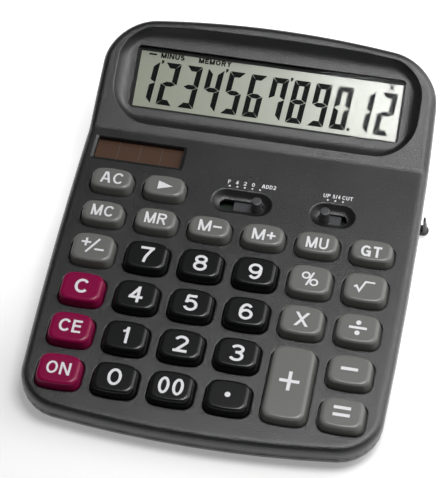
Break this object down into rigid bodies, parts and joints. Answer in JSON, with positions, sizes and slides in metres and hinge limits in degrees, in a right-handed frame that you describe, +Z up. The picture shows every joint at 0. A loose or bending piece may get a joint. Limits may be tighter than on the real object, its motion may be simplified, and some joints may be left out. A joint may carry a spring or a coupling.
{
  "type": "desktop calculator",
  "caption": "Desktop calculator with a tilted display head, solar window, raised keys, two slide switches and a fold-out stand; adds, divides and shows numbers on a desk.",
  "frame": {"origin": "on the desk, under the middle of the object's bounding box, with the stand folded out", "axes": "+X to the user's right along the key rows, +Y away from the user towards the display, +Z up"},
  "size_m": [0.1592, 0.2005, 0.0558],
  "materials": {
    "case_top": "fine grain, satin",
    "case_bottom": "fine grain, matt",
    "window": "clear polished sheet",
    "black_trim": "matt black",
    "lcd": "grey-green display with dark segments",
    "foil": "satin foil",
    "ribbon": "amber film",
    "solar": "dark brown under glass",
    "lead": "insulated wire",
    "mat_rubber": "soft grey silicone",
    "board": "green lacquer",
    "epoxy": "glossy black epoxy",
    "can": "sleeved can",
    "switch_plastic": "satin",
    "contact_brass": "bare strip",
    "cell_steel": "bright",
    "spring_steel": "bright",
    "stand_plastic": "satin",
    "foot_rubber": "matt black",
    "key_grey": "semi-gloss mid grey",
    "key_magenta": "semi-gloss magenta",
    "key_black": "gloss black"
  },
  "bodies": {
    "case": {"top_case": "case_top", "bottom_case": "case_bottom", "display_window": "window", "lcd_frame": "black_trim", "lcd_panel": "lcd", "lcd_reflector": "foil", "lcd_ribbon": "ribbon", "solar_cell": "solar", "solar_leads": "lead", "key_mat": "mat_rubber", "main_board": "board", "chip_cover": "epoxy", "capacitor": "can", "button_cell": "cell_steel", "battery_contact_plus": "spring_steel", "battery_contact_minus": "spring_steel", "front_feet": "foot_rubber", "rear_feet": "foot_rubber", "case_screws": "spring_steel", "board_screws": "spring_steel"},
    "stand": {"tilt_stand": "stand_plastic", "stand_pins": "spring_steel", "stand_pads": "foot_rubber"},
    "decimal_switch": {"decimal_slider": "switch_plastic", "decimal_contact": "contact_brass"},
    "rounding_switch": {"rounding_slider": "switch_plastic", "rounding_contact": "contact_brass"},
    "battery_hatch": {"battery_cover": "case_bottom"},
    "button_ac": {"key_ac": "key_grey"},
    "button_arrow": {"key_arrow": "key_grey"},
    "button_mc": {"key_mc": "key_grey"},
    "button_mr": {"key_mr": "key_grey"},
    "button_m_minus": {"key_m_minus": "key_grey"},
    "button_m_plus": {"key_m_plus": "key_grey"},
    "button_mu": {"key_mu": "key_grey"},
    "button_gt": {"key_gt": "key_grey"},
    "button_sign": {"key_sign": "key_grey"},
    "button_7": {"key_7": "key_black"},
    "button_8": {"key_8": "key_black"},
    "button_9": {"key_9": "key_black"},
    "button_percent": {"key_percent": "key_grey"},
    "button_root": {"key_root": "key_grey"},
    "button_c": {"key_c": "key_magenta"},
    "button_4": {"key_4": "key_black"},
    "button_5": {"key_5": "key_black"},
    "button_6": {"key_6": "key_black"},
    "button_times": {"key_times": "key_grey"},
    "button_divide": {"key_divide": "key_grey"},
    "button_ce": {"key_ce": "key_magenta"},
    "button_1": {"key_1": "key_black"},
    "button_2": {"key_2": "key_black"},
    "button_3": {"key_3": "key_black"},
    "button_plus": {"key_plus": "key_grey"},
    "button_minus": {"key_minus": "key_grey"},
    "button_on": {"key_on": "key_magenta"},
    "button_0": {"key_0": "key_black"},
    "button_00": {"key_00": "key_black"},
    "button_dot": {"key_dot": "key_black"},
    "button_equals": {"key_equals": "key_grey"}
  },
  "joints": [
    {"name": "stand_fold", "type": "hinge", "parent": "case", "child": "stand", "pos_m": [0, 0.0291, 0.01198], "axis": [1, 0, 0], "range_deg": [-116, 0]},
    {"name": "decimal_slide", "type": "slide", "parent": "case", "child": "decimal_switch", "axis": [-1, 0, 0], "range_m": [0, 0.0133]},
    {"name": "rounding_slide", "type": "slide", "parent": "case", "child": "rounding_switch", "axis": [1, 0, 0], "range_m": [0, 0.0066]},
    {"name": "hatch_lift", "type": "slide", "parent": "case", "child": "battery_hatch", "axis": [0, 0.0689, -0.9976], "range_m": [0, 0.02]},
    {"name": "press_ac", "type": "slide", "parent": "case", "child": "button_ac", "axis": [0, 0.1045, -0.9945], "range_m": [0, 0.0016], "stiffness_N_per_m": 350, "springref_m": -0.0005, "deforming": ["key_mat"]},
    {"name": "press_arrow", "type": "slide", "parent": "case", "child": "button_arrow", "axis": [0, 0.1045, -0.9945], "range_m": [0, 0.0016], "stiffness_N_per_m": 350, "springref_m": -0.0005, "deforming": ["key_mat"]},
    {"name": "press_mc", "type": "slide", "parent": "case", "child": "button_mc", "axis": [0, 0.1045, -0.9945], "range_m": [0, 0.0016], "stiffness_N_per_m": 350, "springref_m": -0.0005, "deforming": ["key_mat"]},
    {"name": "press_mr", "type": "slide", "parent": "case", "child": "button_mr", "axis": [0, 0.1045, -0.9945], "range_m": [0, 0.0016], "stiffness_N_per_m": 350, "springref_m": -0.0005, "deforming": ["key_mat"]},
    {"name": "press_m_minus", "type": "slide", "parent": "case", "child": "button_m_minus", "axis": [0, 0.1045, -0.9945], "range_m": [0, 0.0016], "stiffness_N_per_m": 350, "springref_m": -0.0005, "deforming": ["key_mat"]},
    {"name": "press_m_plus", "type": "slide", "parent": "case", "child": "button_m_plus", "axis": [0, 0.1045, -0.9945], "range_m": [0, 0.0016], "stiffness_N_per_m": 350, "springref_m": -0.0005, "deforming": ["key_mat"]},
    {"name": "press_mu", "type": "slide", "parent": "case", "child": "button_mu", "axis": [0, 0.1045, -0.9945], "range_m": [0, 0.0016], "stiffness_N_per_m": 350, "springref_m": -0.0005, "deforming": ["key_mat"]},
    {"name": "press_gt", "type": "slide", "parent": "case", "child": "button_gt", "axis": [0, 0.1045, -0.9945], "range_m": [0, 0.0016], "stiffness_N_per_m": 350, "springref_m": -0.0005, "deforming": ["key_mat"]},
    {"name": "press_sign", "type": "slide", "parent": "case", "child": "button_sign", "axis": [0, 0.1045, -0.9945], "range_m": [0, 0.0016], "stiffness_N_per_m": 350, "springref_m": -0.0005, "deforming": ["key_mat"]},
    {"name": "press_7", "type": "slide", "parent": "case", "child": "button_7", "axis": [0, 0.1045, -0.9945], "range_m": [0, 0.0016], "stiffness_N_per_m": 350, "springref_m": -0.0005, "deforming": ["key_mat"]},
    {"name": "press_8", "type": "slide", "parent": "case", "child": "button_8", "axis": [0, 0.1045, -0.9945], "range_m": [0, 0.0016], "stiffness_N_per_m": 350, "springref_m": -0.0005, "deforming": ["key_mat"]},
    {"name": "press_9", "type": "slide", "parent": "case", "child": "button_9", "axis": [0, 0.1045, -0.9945], "range_m": [0, 0.0016], "stiffness_N_per_m": 350, "springref_m": -0.0005, "deforming": ["key_mat"]},
    {"name": "press_percent", "type": "slide", "parent": "case", "child": "button_percent", "axis": [0, 0.1045, -0.9945], "range_m": [0, 0.0016], "stiffness_N_per_m": 350, "springref_m": -0.0005, "deforming": ["key_mat"]},
    {"name": "press_root", "type": "slide", "parent": "case", "child": "button_root", "axis": [0, 0.1045, -0.9945], "range_m": [0, 0.0016], "stiffness_N_per_m": 350, "springref_m": -0.0005, "deforming": ["key_mat"]},
    {"name": "press_c", "type": "slide", "parent": "case", "child": "button_c", "axis": [0, 0.1045, -0.9945], "range_m": [0, 0.0016], "stiffness_N_per_m": 350, "springref_m": -0.0005, "deforming": ["key_mat"]},
    {"name": "press_4", "type": "slide", "parent": "case", "child": "button_4", "axis": [0, 0.1045, -0.9945], "range_m": [0, 0.0016], "stiffness_N_per_m": 350, "springref_m": -0.0005, "deforming": ["key_mat"]},
    {"name": "press_5", "type": "slide", "parent": "case", "child": "button_5", "axis": [0, 0.1045, -0.9945], "range_m": [0, 0.0016], "stiffness_N_per_m": 350, "springref_m": -0.0005, "deforming": ["key_mat"]},
    {"name": "press_6", "type": "slide", "parent": "case", "child": "button_6", "axis": [0, 0.1045, -0.9945], "range_m": [0, 0.0016], "stiffness_N_per_m": 350, "springref_m": -0.0005, "deforming": ["key_mat"]},
    {"name": "press_times", "type": "slide", "parent": "case", "child": "button_times", "axis": [0, 0.1045, -0.9945], "range_m": [0, 0.0016], "stiffness_N_per_m": 350, "springref_m": -0.0005, "deforming": ["key_mat"]},
    {"name": "press_divide", "type": "slide", "parent": "case", "child": "button_divide", "axis": [0, 0.1045, -0.9945], "range_m": [0, 0.0016], "stiffness_N_per_m": 350, "springref_m": -0.0005, "deforming": ["key_mat"]},
    {"name": "press_ce", "type": "slide", "parent": "case", "child": "button_ce", "axis": [0, 0.1045, -0.9945], "range_m": [0, 0.0016], "stiffness_N_per_m": 350, "springref_m": -0.0005, "deforming": ["key_mat"]},
    {"name": "press_1", "type": "slide", "parent": "case", "child": "button_1", "axis": [0, 0.1045, -0.9945], "range_m": [0, 0.0016], "stiffness_N_per_m": 350, "springref_m": -0.0005, "deforming": ["key_mat"]},
    {"name": "press_2", "type": "slide", "parent": "case", "child": "button_2", "axis": [0, 0.1045, -0.9945], "range_m": [0, 0.0016], "stiffness_N_per_m": 350, "springref_m": -0.0005, "deforming": ["key_mat"]},
    {"name": "press_3", "type": "slide", "parent": "case", "child": "button_3", "axis": [0, 0.1045, -0.9945], "range_m": [0, 0.0016], "stiffness_N_per_m": 350, "springref_m": -0.0005, "deforming": ["key_mat"]},
    {"name": "press_plus", "type": "slide", "parent": "case", "child": "button_plus", "axis": [0, 0.1045, -0.9945], "range_m": [0, 0.0016], "stiffness_N_per_m": 350, "springref_m": -0.0005, "deforming": ["key_mat"]},
    {"name": "press_minus", "type": "slide", "parent": "case", "child": "button_minus", "axis": [0, 0.1045, -0.9945], "range_m": [0, 0.0016], "stiffness_N_per_m": 350, "springref_m": -0.0005, "deforming": ["key_mat"]},
    {"name": "press_on", "type": "slide", "parent": "case", "child": "button_on", "axis": [0, 0.1045, -0.9945], "range_m": [0, 0.0016], "stiffness_N_per_m": 350, "springref_m": -0.0005, "deforming": ["key_mat"]},
    {"name": "press_0", "type": "slide", "parent": "case", "child": "button_0", "axis": [0, 0.1045, -0.9945], "range_m": [0, 0.0016], "stiffness_N_per_m": 350, "springref_m": -0.0005, "deforming": ["key_mat"]},
    {"name": "press_00", "type": "slide", "parent": "case", "child": "button_00", "axis": [0, 0.1045, -0.9945], "range_m": [0, 0.0016], "stiffness_N_per_m": 350, "springref_m": -0.0005, "deforming": ["key_mat"]},
    {"name": "press_dot", "type": "slide", "parent": "case", "child": "button_dot", "axis": [0, 0.1045, -0.9945], "range_m": [0, 0.0016], "stiffness_N_per_m": 350, "springref_m": -0.0005, "deforming": ["key_mat"]},
    {"name": "press_equals", "type": "slide", "parent": "case", "child": "button_equals", "axis": [0, 0.1045, -0.9945], "range_m": [0, 0.0016], "stiffness_N_per_m": 350, "springref_m": -0.0005, "deforming": ["key_mat"]}
  ]
}
